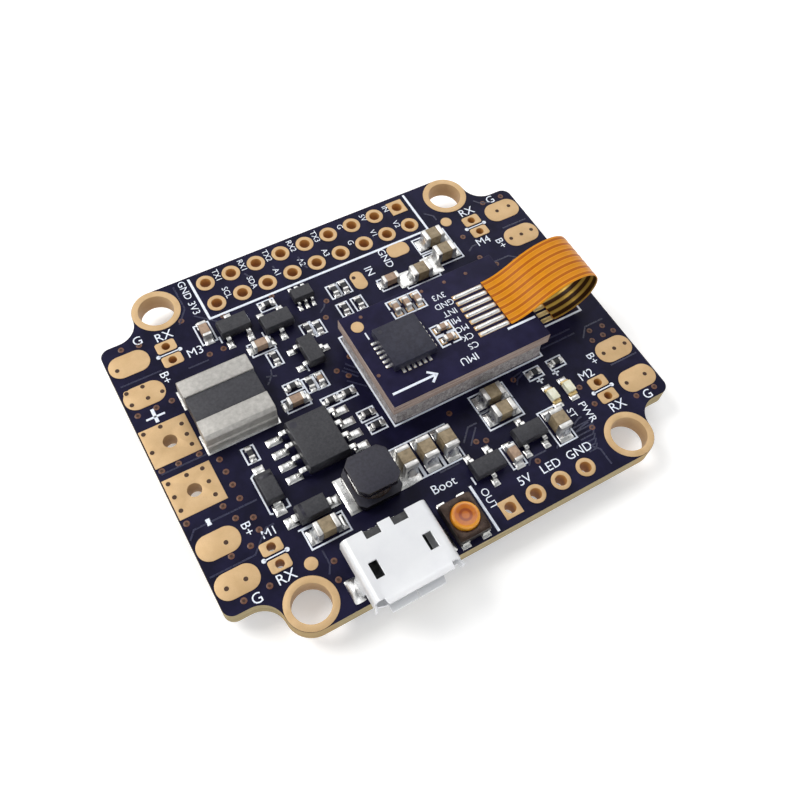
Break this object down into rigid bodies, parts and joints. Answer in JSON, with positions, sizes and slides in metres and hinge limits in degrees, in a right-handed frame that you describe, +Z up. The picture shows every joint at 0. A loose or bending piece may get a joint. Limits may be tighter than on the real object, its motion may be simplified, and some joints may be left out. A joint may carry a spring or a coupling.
{
  "type": "flight controller board",
  "caption": "Flight controller board for a small multirotor, with a micro-USB socket, a boot button and a motion sensor on soft foam.",
  "frame": {"origin": "centre of the four mounting holes, on the board's underside", "axes": "+X is the flight direction (the arrow on the sensor board), +Y is left (the pin header side), +Z is up out of the component face"},
  "size_m": [0.0428, 0.0364, 0.0093],
  "materials": {
    "solder_mask_board": "dark blue-black solder mask over glass-fibre laminate, tan raw edge",
    "gold": "immersion gold over copper, satin",
    "solder_tin": "bright tin solder",
    "shell_steel": "tin-plated steel sheet, bright",
    "moulding": "black moulded epoxy, fine grain",
    "switch_steel": "thin dark steel cover",
    "amber_plastic": "amber plastic button",
    "resistance_alloy": "dark grey coated resistance element",
    "ferrite": "dark grey ferrite",
    "winding": "coated copper winding",
    "ceramic": "tan ceramic",
    "resistor_ceramic": "black coated ceramic",
    "led_white": "white moulded carrier",
    "led_lens": "pale cream lens",
    "foam": "grey-pink soft closed-cell foam",
    "polyimide": "translucent orange polyimide film with copper lines",
    "crystal_metal": "nickel-plated lid",
    "crystal_ceramic": "pale ceramic case"
  },
  "bodies": {
    "main_board": {"board": "solder_mask_board", "mounting_rings": "gold", "header_holes": "gold", "accessory_holes": "gold", "signal_pads": "gold", "motor_pads": "gold", "battery_pads": "gold", "test_pads": "gold", "component_pads": "solder_tin", "ribbon_pads": "gold", "usb_shell": "shell_steel", "usb_insulator": "moulding", "usb_contacts": "gold", "boot_switch_base": "moulding", "boot_switch_cover": "switch_steel", "boot_switch_terminals": "solder_tin", "shunt_element": "resistance_alloy", "shunt_terminals": "solder_tin", "regulator_body": "moulding", "regulator_leads": "solder_tin", "inductor_core": "ferrite", "inductor_winding": "winding", "inductor_terminals": "solder_tin", "diode_bodies": "moulding", "diode_leads": "solder_tin", "power_capacitor_bodies": "ceramic", "power_capacitor_ends": "solder_tin", "small_capacitor_bodies": "ceramic", "small_capacitor_ends": "solder_tin", "resistor_bodies": "resistor_ceramic", "resistor_ends": "solder_tin", "transistor_bodies": "moulding", "transistor_leads": "solder_tin", "switch_chip_body": "moulding", "switch_chip_leads": "solder_tin", "led_bases": "led_white", "led_lenses": "led_lens", "led_ends": "solder_tin", "sensor_foam": "foam", "ribbon": "polyimide", "processor_body": "moulding", "processor_leads": "solder_tin", "crystal_base": "crystal_ceramic", "crystal_lid": "crystal_metal", "decoupling_capacitor_bodies": "ceramic", "decoupling_capacitor_ends": "solder_tin"},
    "sensor": {"sensor_board": "solder_mask_board", "sensor_pads": "gold", "sensor_chip": "moulding", "sensor_chip_contacts": "gold", "sensor_capacitor_bodies": "ceramic", "sensor_capacitor_ends": "solder_tin", "ribbon_fingers": "solder_tin"},
    "button": {"boot_button": "amber_plastic"}
  },
  "joints": [
    {"name": "boot_press", "type": "slide", "parent": "main_board", "child": "button", "axis": [0, 0, 1], "range_m": [-0.00024, 0], "stiffness_N_per_m": 6000},
    {"name": "sensor_float", "type": "slide", "parent": "main_board", "child": "sensor", "axis": [0, 0, 1], "range_m": [-0.0006, 0], "stiffness_N_per_m": 2500, "deforming": ["sensor_foam", "ribbon"]}
  ]
}
